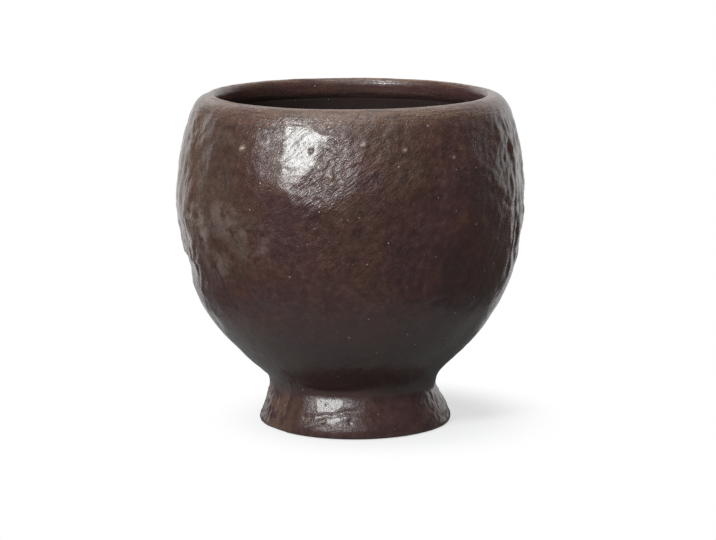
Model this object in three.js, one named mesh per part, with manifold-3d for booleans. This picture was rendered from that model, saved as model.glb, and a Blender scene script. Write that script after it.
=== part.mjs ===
// A hand-built stoneware cup: a globe-shaped bowl luted to a flared foot, glazed dark brown inside and out.
// Millimetres, +Z up. The origin is on the table, under the middle of the bowl, and -Y is the front.
import * as THREE from "three";
import { mergeVertices } from "three/addons/utils/BufferGeometryUtils.js";
import Module from "manifold-3d";

// Glazed outside of the foot
const baseRadius = 24.2; // ring that stands on the table
const footRadius = 24.9; // widest part of the flare
const footEdgeHeight = 0.9; // height of the widest part
const neckRadius = 21.8;
const neckHeight = 10.2;
const footShift = 1.2; // the foot sits this far to the right of the bowl's middle
const shiftHeight = 22; // and the shift has gone by this height

// Glazed outside of the bowl
const cupHeight = 85.5;
const bellyRadius = 45.2;
const bellyRise = 51.5; // neck to belly
const lipRise = 2.7; // shoulder to the crest of the lip
const mouthRadius = 35.3;
const lipWidth = 5; // at the shoulder
const crestInset = 1.1; // the crest is this far from the mouth's inner face

// Glazed inside of the bowl
const wallThickness = 4.6; // clay and both glazes, at the belly
const lipInnerDrop = 1.9; // crest to the inner face
const lipFaceHeight = 2; // upright stretch of that face
const floorHeight = 16.5; // above the table
const floorRadius = 9;

// Clay joint between the bowl and the foot
const recessTopRadius = 13.6; // hollow under the foot, at the bowl
const recessBaseRadius = 18; // the same hollow, at the table
const jointRadius = 17.8; // of the two faces that are luted together
const jointHeight = 10.4; // top of the foot strip
const slipThickness = 0.8; // space that the luting slip fills
const coilRise = 7; // how far the neck coil is smeared up the bowl from the joint
const coilDrop = 2.6; // and down the foot

// Shallow hollows that the fingers left on their way round the bowl as it was pinched
const pressCount = 26;
const pressDepth = 0.35;
const pressHalfHeight = 13;
const pressHalfAngle = 22; // degrees
const pressTurn = 137.5; // degrees from one to the next
const pressStart = 20; // degrees from the front to the first, towards the right
const pressMargin = 8; // the middles keep this far below the lip's shoulder and above the coil

// The foot strip's two ends meet in a slanting seam at the front left
const seamAngle = -50; // degrees from the front, towards the left
const seamBevel = 38; // degrees that the cut slants through the strip's thickness
const seamLean = 8; // degrees that the cut leans from upright
const seamGap = 0.35;

// Glaze
const glazeThickness = 0.4;
const glazeFootLine = 0.5; // height of the glaze's lower edge, wiped clean below it
const seatGap = 0.18; // between any two pieces that are fired together

// Fullness of each curve: how far its end handles reach, as a share of its height
const footFlareLow = 0.45; // of the straight way from the edge to the neck
const footFlareHigh = 0.2;
const bowlAtNeck = 0.155;
const bowlAtBelly = 0.77;
const shoulderAtBelly = 0.26;
const shoulderAtLip = 0.39;
const shoulderSlope = 0.45; // outward run of the wall under the lip for each millimetre down
const lipAtShoulder = 0.75;
const lipAtCrest = 0.29; // of the way from the crest out to the shoulder
const insideAtBelly = 0.62;
const insideAtFloor = 0.4; // of the way from the floor's edge to the belly's inner wall

const turnSegments = 48;

const bellyHeight = neckHeight + bellyRise;
const shoulderHeight = cupHeight - lipRise;
const shoulderRise = shoulderHeight - bellyHeight;
const seatHeight = jointHeight + slipThickness;
const coilTop = seatHeight + coilRise;
const coilBottom = jointHeight - coilDrop;
const lipFaceEnd = cupHeight - lipInnerDrop - lipFaceHeight;
const at = (radius, height) => new THREE.Vector2(radius, height);

// Points along a cubic curve, without its first point so that stretches can follow each other.
function curve(start, startHandle, endHandle, end, steps) {
  return new THREE.CubicBezierCurve(start, startHandle, endHandle, end).getPoints(steps).slice(1);
}

function footOutline() {
  const base = at(baseRadius, 0);
  const edge = at(footRadius, footEdgeHeight);
  const neck = at(neckRadius, neckHeight);
  const flareHeight = neckHeight - footEdgeHeight;
  const underEdge = at((baseRadius + footRadius) / 2, 0);
  const besideEdge = at(footRadius, footEdgeHeight / 2);
  return [
    base,
    ...curve(base, underEdge, besideEdge, edge, 3),
    ...curve(
      edge,
      edge.clone().lerp(neck, footFlareLow),
      at(neckRadius, neckHeight - footFlareHigh * flareHeight),
      neck,
      5,
    ),
  ];
}

function bowlOutline() {
  const neck = at(neckRadius, neckHeight);
  const belly = at(bellyRadius, bellyHeight);
  const lipEdge = at(mouthRadius + lipWidth, shoulderHeight);
  const lipHandle = shoulderAtLip * shoulderRise;
  return [
    ...curve(
      neck,
      at(neckRadius, neckHeight + bowlAtNeck * bellyRise),
      at(bellyRadius, bellyHeight - bowlAtBelly * bellyRise),
      belly,
      12,
    ),
    ...curve(
      belly,
      at(bellyRadius, bellyHeight + shoulderAtBelly * shoulderRise),
      at(lipEdge.x + shoulderSlope * lipHandle, shoulderHeight - lipHandle),
      lipEdge,
      7,
    ),
  ];
}

function lipOutline() {
  const edge = at(mouthRadius + lipWidth, shoulderHeight);
  const crest = at(mouthRadius + crestInset, cupHeight);
  const face = at(mouthRadius, cupHeight - lipInnerDrop);
  const edgeHandle = lipAtShoulder * lipRise;
  return [
    ...curve(
      edge,
      at(edge.x - shoulderSlope * edgeHandle, edge.y + edgeHandle),
      at(crest.x + lipAtCrest * (edge.x - crest.x), crest.y),
      crest,
      5,
    ),
    ...curve(
      crest,
      at((crest.x + face.x) / 2, crest.y),
      at(face.x, (crest.y + face.y) / 2),
      face,
      3,
    ),
    at(mouthRadius, lipFaceEnd),
  ];
}

function insideOutline() {
  const faceEnd = at(mouthRadius, lipFaceEnd);
  const belly = at(bellyRadius - wallThickness, bellyHeight);
  const floorEdge = at(floorRadius, floorHeight);
  const upperHeight = faceEnd.y - bellyHeight;
  const lowerHeight = bellyHeight - floorHeight;
  const lipHandle = shoulderAtLip * upperHeight;
  return [
    ...curve(
      faceEnd,
      at(mouthRadius + shoulderSlope * lipHandle, faceEnd.y - lipHandle),
      at(belly.x, bellyHeight + shoulderAtBelly * upperHeight),
      belly,
      5,
    ),
    ...curve(
      belly,
      at(belly.x, bellyHeight - insideAtBelly * lowerHeight),
      at(floorRadius + insideAtFloor * (belly.x - floorRadius), floorHeight),
      floorEdge,
      9,
    ),
    at(0, floorHeight),
  ];
}

// The glazed skin in one line: up the outside, over the lip, down the inside to the middle of the floor.
const rising = [...footOutline(), ...bowlOutline()];
const lip = lipOutline();
const inside = insideOutline();

// The skin moved into the wall by a depth, as its three stretches.
function skinAtDepth(depth) {
  const skin = [...rising, ...lip, ...inside];
  const moved = skin.map((point, i) => {
    const before = skin[Math.max(i - 1, 0)];
    const after = skin[Math.min(i + 1, skin.length - 1)];
    const along = after.clone().sub(before).normalize();
    const radius = point.x === 0 ? 0 : point.x - depth * along.y;
    return at(radius, point.y + depth * along.x);
  });
  const lipEnd = rising.length + lip.length;
  return {
    rising: moved.slice(0, rising.length),
    lip: moved.slice(rising.length, lipEnd),
    inside: moved.slice(lipEnd),
  };
}

// The point of a rising outline at a height.
function pointAt(outline, height) {
  const i = outline.findIndex((point, k) => k > 0 && point.y >= height);
  const share = (height - outline[i - 1].y) / (outline[i].y - outline[i - 1].y);
  return outline[i - 1].clone().lerp(outline[i], share);
}

// The part of a rising outline above a height, or between two, cut exactly there.
function above(outline, low) {
  return [pointAt(outline, low), ...outline.filter((point) => point.y > low)];
}

function between(outline, low, high) {
  return [...above(outline, low).filter((point) => point.y < high), pointAt(outline, high)];
}

// How deep the finger hollows are at an angle and a height, fading out at the coil and at the lip.
function pressedIn(angle, height) {
  const low = coilTop + pressMargin;
  const high = shoulderHeight - pressMargin;
  let depth = 0;
  for (let i = 0; i < pressCount; i++) {
    const middle = THREE.MathUtils.degToRad(pressStart + i * pressTurn);
    const turn = THREE.MathUtils.euclideanModulo(angle - middle + Math.PI, 2 * Math.PI) - Math.PI;
    const rise = height - THREE.MathUtils.lerp(low, high, i / (pressCount - 1));
    const far = (turn / THREE.MathUtils.degToRad(pressHalfAngle)) ** 2 + (rise / pressHalfHeight) ** 2;
    depth += pressDepth * Math.max(1 - far, 0) ** 2;
  }
  const fade = THREE.MathUtils.smoothstep;
  const clearOfCoil = coilTop + pressMargin / 2;
  return depth * fade(height, clearOfCoil, low + pressMargin / 2) * (1 - fade(height, high, shoulderHeight));
}

// A solid of revolution from its closed outline, then shaped by hand: the finger hollows go in all round,
// and its lower end moves over with the foot.
function turned(outline) {
  const closed = outline[0].x === 0 ? outline : [...outline, outline[0]];
  const geometry = new THREE.LatheGeometry(closed, turnSegments);
  geometry.rotateX(Math.PI / 2);
  const position = geometry.getAttribute("position");
  const spot = new THREE.Vector3();
  for (let i = 0; i < position.count; i++) {
    spot.fromBufferAttribute(position, i);
    const radius = Math.hypot(spot.x, spot.y);
    const angle = Math.atan2(spot.x, -spot.y);
    const pressed = radius > 0 ? 1 - pressedIn(angle, spot.z) / radius : 1;
    const aside = footShift * (1 - THREE.MathUtils.smoothstep(spot.z, 0, shiftHeight));
    position.setXY(i, spot.x * pressed + aside, spot.y * pressed);
  }
  return geometry;
}

const wasm = await Module();
wasm.setup();

function solidOf(geometry) {
  const bare = geometry.clone();
  bare.deleteAttribute("normal");
  bare.deleteAttribute("uv");
  const merged = mergeVertices(bare);
  const vertProperties = new Float32Array(merged.getAttribute("position").array);
  const triVerts = new Uint32Array(merged.index.array);
  return new wasm.Manifold(new wasm.Mesh({ numProp: 3, vertProperties, triVerts }));
}

function geometryOf(solid) {
  const mesh = solid.getMesh();
  const geometry = new THREE.BufferGeometry();
  geometry.setAttribute("position", new THREE.BufferAttribute(mesh.vertProperties, 3));
  geometry.setIndex(new THREE.BufferAttribute(mesh.triVerts, 1));
  return geometry;
}

const glazeBack = skinAtDepth(glazeThickness);
const clay = skinAtDepth(glazeThickness + seatGap);
const clayFootLine = glazeFootLine + seatGap;

// The bowl is pinched from one ball of clay: wall, lip and a flat underside that the foot is luted to.
function bowlGeometry() {
  return turned([
    at(0, seatHeight),
    at(jointRadius, seatHeight),
    ...above(clay.rising, coilTop),
    ...clay.lip,
    ...clay.inside,
  ]);
}

// The foot is a strip of clay bent round into a flared ring, with its bevelled ends meeting at the seam.
function footGeometry() {
  const flare = between(clay.rising, clayFootLine, coilBottom);
  const ring = turned([
    at(recessBaseRadius, 0),
    at(baseRadius - glazeThickness, 0),
    ...flare,
    at(jointRadius, jointHeight),
    at(recessTopRadius, jointHeight),
  ]);
  const middle = (recessBaseRadius + footRadius) / 2;
  const reach = 2 * (footRadius - recessTopRadius);
  const cut = new THREE.BoxGeometry(seamGap, reach / Math.cos(THREE.MathUtils.degToRad(seamBevel)), 3 * jointHeight);
  cut.rotateY(THREE.MathUtils.degToRad(seamLean));
  cut.rotateZ(THREE.MathUtils.degToRad(seamBevel));
  cut.translate(0, -middle, jointHeight / 2);
  cut.rotateZ(THREE.MathUtils.degToRad(seamAngle));
  cut.translate(footShift, 0, 0);
  return geometryOf(solidOf(ring).subtract(solidOf(cut)));
}

// Luting slip: the wet clay that the foot was pressed into.
function slipGeometry() {
  const low = jointHeight + seatGap;
  const high = seatHeight - seatGap;
  return turned([
    at(recessTopRadius, low),
    at(jointRadius, low),
    at(jointRadius, high),
    at(recessTopRadius, high),
  ]);
}

// A thin coil worked into the angle outside the joint, which makes the hollow of the neck.
function neckCoilGeometry() {
  const feather = 4 * seatGap; // the smeared edges stop short of what they run out on
  const neck = between(clay.rising, coilBottom + feather, coilTop - feather);
  const inner = jointRadius + 2 * seatGap;
  return turned([...neck, at(inner, seatHeight), at(inner, jointHeight)]);
}

// The outer glaze was dipped: it laps over the lip and ends inside the mouth.
function outerGlazeGeometry() {
  const front = [...above(rising, glazeFootLine), ...lip];
  const back = [...above(glazeBack.rising, glazeFootLine), ...glazeBack.lip];
  return turned([...front, ...back.toReversed()]);
}

// The inner glaze was poured: it starts just under the lap and runs across the floor.
function innerGlazeGeometry() {
  const share = seatGap / lip.at(-1).distanceTo(inside[0]);
  const front = [lip.at(-1).clone().lerp(inside[0], share), ...inside];
  const back = [glazeBack.lip.at(-1).clone().lerp(glazeBack.inside[0], share), ...glazeBack.inside];
  return turned([...back.toReversed(), ...front]);
}

function material(colour, roughness) {
  return new THREE.MeshStandardMaterial({ color: colour, roughness, metalness: 0 });
}

const stoneware = material("#6d5142", 0.85);
const wetClay = material("#5f4638", 0.9);
const brownGlaze = material("#3a2622", 0.3);

const pieces = [
  ["bowl", bowlGeometry(), stoneware],
  ["foot_ring", footGeometry(), stoneware],
  ["luting_slip", slipGeometry(), wetClay],
  ["neck_coil", neckCoilGeometry(), wetClay],
  ["outer_glaze", outerGlazeGeometry(), brownGlaze],
  ["inner_glaze", innerGlazeGeometry(), brownGlaze],
];

const cup = new THREE.Group();
for (const [name, geometry, finish] of pieces) {
  const mesh = new THREE.Mesh(geometry, finish);
  mesh.name = name;
  cup.add(mesh);
}

export default cup;
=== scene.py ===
import bpy
import numpy as np
from math import pi, radians
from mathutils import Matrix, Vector, noise


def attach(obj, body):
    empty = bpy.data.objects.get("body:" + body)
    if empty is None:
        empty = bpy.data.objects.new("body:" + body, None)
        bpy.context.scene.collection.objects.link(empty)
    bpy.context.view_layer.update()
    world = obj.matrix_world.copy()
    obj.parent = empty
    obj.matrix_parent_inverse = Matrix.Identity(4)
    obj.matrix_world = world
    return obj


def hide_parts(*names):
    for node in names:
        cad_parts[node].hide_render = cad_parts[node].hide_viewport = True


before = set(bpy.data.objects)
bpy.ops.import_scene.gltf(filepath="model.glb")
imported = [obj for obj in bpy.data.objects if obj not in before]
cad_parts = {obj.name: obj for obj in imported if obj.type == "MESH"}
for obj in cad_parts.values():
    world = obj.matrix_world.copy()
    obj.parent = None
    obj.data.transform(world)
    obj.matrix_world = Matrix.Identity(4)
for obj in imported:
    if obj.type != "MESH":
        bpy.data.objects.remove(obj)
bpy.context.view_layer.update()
mm = 0.001
scene = bpy.context.scene


def srgb(hexText):
    parts = [int(hexText[i:i + 2], 16) / 255 for i in (1, 3, 5)]
    linear = [c / 12.92 if c <= 0.04045 else ((c + 0.055) / 1.055) ** 2.4 for c in parts]
    return (*linear, 1)


# One node with its settings; a socket given as an input is linked, anything else is set on it. A colour
# mix has its two colours at inputs 6 and 7, and the mixed one at output 2
def addNode(tree, kind, inputs=None, **settings):
    node = tree.nodes.new(kind)
    for name, value in settings.items():
        setattr(node, name, value)
    for name, value in (inputs or {}).items():
        if isinstance(value, bpy.types.NodeSocket):
            tree.links.new(value, node.inputs[name])
        else:
            node.inputs[name].default_value = value
    return node


def newMaterial(name):
    made = bpy.data.materials.new(name)
    made.use_nodes = True
    made.node_tree.nodes.clear()
    return made, made.node_tree


# Sizes of the glazed cup in mm, the same as in the solids. A pull says how far a curve's handle reaches,
# as a share of that curve; where there are two, they are for the curves below and above the place
cup = {
    "height": 85.5,
    "baseRadius": 24.2,
    "footRadius": 24.9,
    "footEdgeHeight": 0.9,
    "flarePull": 0.45,
    "neckRadius": 21.8,
    "neckHeight": 10.2,
    "neckPull": (0.2, 0.155),
    "footShift": 1.2,
    "shiftHeight": 22,
    "coilTop": 18.2,
    "bellyRadius": 45.2,
    "bellyHeight": 61.7,
    "bellyPull": (0.77, 0.26),
    "shoulderHeight": 82.8,
    "shoulderSlope": 0.45,
    "shoulderPull": (0.39, 0.75),
    "mouthRadius": 35.3,
    "lipWidth": 5.0,
    "crestInset": 1.1,
    "crestPull": 0.29,
    "lipInnerDrop": 1.9,
    "lipFaceHeight": 2.0,
    "wallThickness": 4.6,
    "insideBellyPull": 0.62,
    "floorHeight": 16.5,
    "floorRadius": 9.0,
    "floorPull": 0.4,
    "innermost": 0.4,
}

# Hollows left by the fingers as the bowl was pinched, the same as in the solids
fingers = {
    "count": 26,
    "depth": 0.35,
    "halfHeight": 13,
    "halfAngle": 22,
    "turn": 137.5,
    "start": 20,
    "margin": 8,
}


def bend(start, startHandle, endHandle, end, steps=120):
    t = np.linspace(0, 1, steps + 1)[1:, None]
    a, b, c, d = (np.array(p, float) for p in (start, startHandle, endHandle, end))
    return (1 - t) ** 3 * a + 3 * (1 - t) ** 2 * t * b + 3 * (1 - t) * t ** 2 * c + t ** 3 * d


# Radius and height from the table up the outside, over the lip and down its inner face
def outsideLine():
    base, edge = (cup["baseRadius"], 0), (cup["footRadius"], cup["footEdgeHeight"])
    neck = (cup["neckRadius"], cup["neckHeight"])
    belly = (cup["bellyRadius"], cup["bellyHeight"])
    shoulder = (cup["mouthRadius"] + cup["lipWidth"], cup["shoulderHeight"])
    crest = (cup["mouthRadius"] + cup["crestInset"], cup["height"])
    face = (cup["mouthRadius"], cup["height"] - cup["lipInnerDrop"])
    flareStart = tuple(e + cup["flarePull"] * (n - e) for e, n in zip(edge, neck))
    flare = neck[1] - edge[1]
    lower = belly[1] - neck[1]
    upper = shoulder[1] - belly[1]
    lipRise = crest[1] - shoulder[1]
    slope = cup["shoulderSlope"]
    underNeck, overNeck = cup["neckPull"]
    underBelly, overBelly = cup["bellyPull"]
    underShoulder, overShoulder = cup["shoulderPull"]
    faceSteps = 10
    return np.vstack([
        [base],
        bend(base, ((base[0] + edge[0]) / 2, 0), (edge[0], edge[1] / 2), edge, steps=30),
        bend(edge, flareStart, (neck[0], neck[1] - underNeck * flare), neck),
        bend(neck, (neck[0], neck[1] + overNeck * lower),
             (belly[0], belly[1] - underBelly * lower), belly, steps=300),
        bend(belly, (belly[0], belly[1] + overBelly * upper),
             (shoulder[0] + slope * underShoulder * upper, shoulder[1] - underShoulder * upper), shoulder),
        bend(shoulder, (shoulder[0] - slope * overShoulder * lipRise, shoulder[1] + overShoulder * lipRise),
             (crest[0] + cup["crestPull"] * (shoulder[0] - crest[0]), crest[1]), crest, steps=60),
        bend(crest, ((crest[0] + face[0]) / 2, crest[1]),
             (face[0], (crest[1] + face[1]) / 2), face, steps=40),
        [(face[0], face[1] - cup["lipFaceHeight"] * k / faceSteps) for k in range(1, faceSteps + 1)],
    ])


# From the end of the lip's inner face down the inside to the middle of the floor
def insideLine():
    start = (cup["mouthRadius"], cup["height"] - cup["lipInnerDrop"] - cup["lipFaceHeight"])
    belly = (cup["bellyRadius"] - cup["wallThickness"], cup["bellyHeight"])
    floorEdge = (cup["floorRadius"], cup["floorHeight"])
    upper = start[1] - belly[1]
    lower = belly[1] - floorEdge[1]
    reach = cup["shoulderPull"][0] * upper
    return np.vstack([
        [start],
        bend(start, (start[0] + cup["shoulderSlope"] * reach, start[1] - reach),
             (belly[0], belly[1] + cup["bellyPull"][1] * upper), belly),
        bend(belly, (belly[0], belly[1] - cup["insideBellyPull"] * lower),
             (floorEdge[0] + cup["floorPull"] * (belly[0] - floorEdge[0]), floorEdge[1]), floorEdge,
             steps=200),
        [(cup["innermost"], floorEdge[1])],
    ])


def lengthAlong(line):
    return np.concatenate([[0], np.cumsum(np.hypot(*np.diff(line, axis=0).T))])


# The same line with its points at even steps, or closer together where the share is larger
def evenly(line, count, share=1):
    steps = np.diff(lengthAlong(line)) * np.broadcast_to(share, len(line))[1:]
    along = np.concatenate([[0], np.cumsum(steps)])
    wanted = np.linspace(0, along[-1], count)
    return np.column_stack([np.interp(wanted, along, line[:, k]) for k in (0, 1)])


# Unit vectors that point out of the wall
def outward(line):
    ahead = np.gradient(line, axis=0)
    ahead /= np.hypot(*ahead.T)[:, None]
    return np.column_stack([ahead[:, 1], -ahead[:, 0]])


# The line moved into the wall
def sunk(line, depth):
    return line - outward(line) * np.reshape(depth, (-1, 1))


# 0 at the start of a range and 1 where it is full; the start may be the larger of the two
def smooth(value, start, full):
    t = np.clip((value - start) / (full - start), 0, 1)
    return t * t * (3 - 2 * t)


# Comes in over one range and goes again over another
def between(value, comes, goes):
    return smooth(value, *comes) * (1 - smooth(value, *goes))


# A share that comes in over a range
def comesIn(value, share, start, full):
    return share * smooth(value, start, full)


# From the least of something up to all of it
def atLeast(least, share):
    return least + (1 - least) * share


# 1 on a mark, and falling off softly to its sides
def bell(distance, width):
    return np.exp(-(distance / width) ** 2)


def turnFrom(angle, degrees):
    return (angle - radians(degrees) + pi) % (2 * pi) - pi


# 1 near an angle, gone at the outer of two turns to either side of it, all in degrees
def nearAngle(angle, middle, inner, outer):
    return 1 - smooth(np.abs(turnFrom(angle, middle)), radians(inner), radians(outer))


def pressedIn(angle, height):
    margin = fingers["margin"]
    low, high = cup["coilTop"] + margin, cup["shoulderHeight"] - margin
    depth = 0
    for i in range(fingers["count"]):
        turn = turnFrom(angle, fingers["start"] + i * fingers["turn"])
        rise = height - (low + (high - low) * i / (fingers["count"] - 1))
        far = (turn / radians(fingers["halfAngle"])) ** 2 + (rise / fingers["halfHeight"]) ** 2
        depth = depth + fingers["depth"] * np.maximum(1 - far, 0) ** 2
    low = cup["coilTop"] + margin / 2
    return depth * between(height, (low, low + margin), (high, cup["shoulderHeight"]))


# Points in mm round the axis; the angle is 0 at the front and grows to the right
def roundAxis(radius, angle, height):
    x, y = radius * np.sin(angle), -radius * np.cos(angle)
    return np.stack([x, y, height + 0 * x], -1)


# Rings of points in metres: finger hollows go in, and the foot sits a little to the right
def ringsOf(radius, angle, height):
    points = roundAxis(radius - pressedIn(angle, height), angle, height)
    points[..., 0] += cup["footShift"] * (1 - smooth(height, 0, cup["shiftHeight"]))
    return points * mm


# A closed body from rings of points. Rings that end near the axis are shut with a small fan
def bodyFromRings(name, rings, shutEnds):
    rows, columns = rings.shape[:2]
    index = np.arange(rows * columns).reshape(rows, columns)
    lower = index[:-1] if shutEnds else index
    upper = index[1:] if shutEnds else np.roll(index, -1, 0)
    quads = np.stack([lower, np.roll(lower, -1, 1), np.roll(upper, -1, 1), upper], -1).reshape(-1, 4)
    points = rings.reshape(-1, 3).tolist()
    faces = quads.tolist()
    if shutEnds:
        for ring, turned in ((index[0], True), (index[-1], False)):
            points.append(rings.reshape(-1, 3)[ring].mean(0).tolist())
            pole = len(points) - 1
            for a, b in zip(ring.tolist(), np.roll(ring, -1).tolist()):
                faces.append((b, a, pole) if turned else (a, b, pole))
    mesh = bpy.data.meshes.new(name)
    mesh.from_pydata(points, [], faces)
    mesh.validate()
    mesh.shade_smooth()
    body = bpy.data.objects.new(name, mesh)
    scene.collection.objects.link(body)
    return body


# Noise at points in mm. The shift keeps one pattern apart from the next
def noiseAt(points, size, depth=1, shift=0):
    flat = ((points + shift) / np.array(size, float)).reshape(-1, 3)
    return np.array([noise.noise(Vector(p)) for p in flat]).reshape(points.shape[:-1]) * depth


print("cup: sizes and outlines ready")


# Stoneware glaze, dipped or poured and fired to a satin: dark brown, plum or olive in patches, freckled and
# tan where it lies thin, with more tan painted on as sheen and highlight at the left side and the lip,
# darker low down and inside, where the inside is also greyed as a painted veil of stray light. Grey smears
# on the left of the belly are a painted sheen, and pale specks and blister tops are partly painted glints.
# Under a thin glossy skin its body is crowded with crystals, so a sharp highlight lies in a wide grainy
# haze. Sizes in mm; crystals, specks and pinholes are really finer. A range is where a pattern starts to
# show and where it is full
brownGlaze = {
    "brown": "#472d26",
    "plum": "#412a2a",
    "olive": "#47342b",
    # darker tone low on the bowl and inside the lip
    "darkened": "#2a1f1f",
    # the inside's own tone, greyed as a painted veil of stray light
    "darkInsideWithVeil": "#37302e",
    "thin": "#695041",
    "dark": "#281918",
    "light": "#5b4139",
    # grey sheen painted on the left of the belly
    "greySheen": "#7d7069",
    # pale specks and blister tops, partly painted glints
    "speckGlint": "#b9a698",
    "patch": (24, 3, 0.6),  # size, detail and roughness, as in the next three
    "smudge": (5, 5, 0.7),
    "mottle": (1.5, 4, 0.65),
    "crystal": (0.4, 1, 0.5),
    "patchShift": (0.13, 0.05, 0.09),
    "oliveRange": (0.54, 0.7),
    "plumRange": (0.58, 0.42),
    "darkSmudge": (0.52, 0.8),
    "lightSmudge": (0.46, 0.24),
    "smudgeShare": 0.52,
    "darkFreckle": (0.5, 0.8),
    "lightFreckle": (0.48, 0.22),
    "greySheenRange": (0.56, 0.44),
    "flowedGrain": 0.15,
    "crystalHeight": 0.13,
    "strokeSize": (2.4, 0.55, 0.55),
    "strokeTurn": 40,
    "strokeHeight": 0.18,
    "combSize": (0.8, 0.8, 7),
    "combHeight": 0.11,
    "lineSize": (7, 7, 0.5),
    "lineHeight": 0.55,
    "lineRange": (0.32, 0.65),
    "lineGain": 1.7,
    "drawnDetail": 2,
    "crumbRange": (0.35, 0.65),
    "crumbGain": (0.2, 1.8),
    "speckSpacing": 2.4,
    "speckSize": 0.24,
    "speckHeight": 0.1,
    "speckChosen": (0.6, 1),
    "pinholeSpacing": 0.95,
    "pinholeSize": 0.15,
    "pinholeDepth": 0.1,
    "roughness": (0.26, 0.34),
    "roughRange": (0.3, 0.7),
    "ruggedRoughness": 0.08,
    "combedRoughness": -0.08,
    "ior": 1.5,
    "bodyShine": 0.45,
    "skin": 0.14,
    "skinRoughness": 0.12,
}


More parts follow.
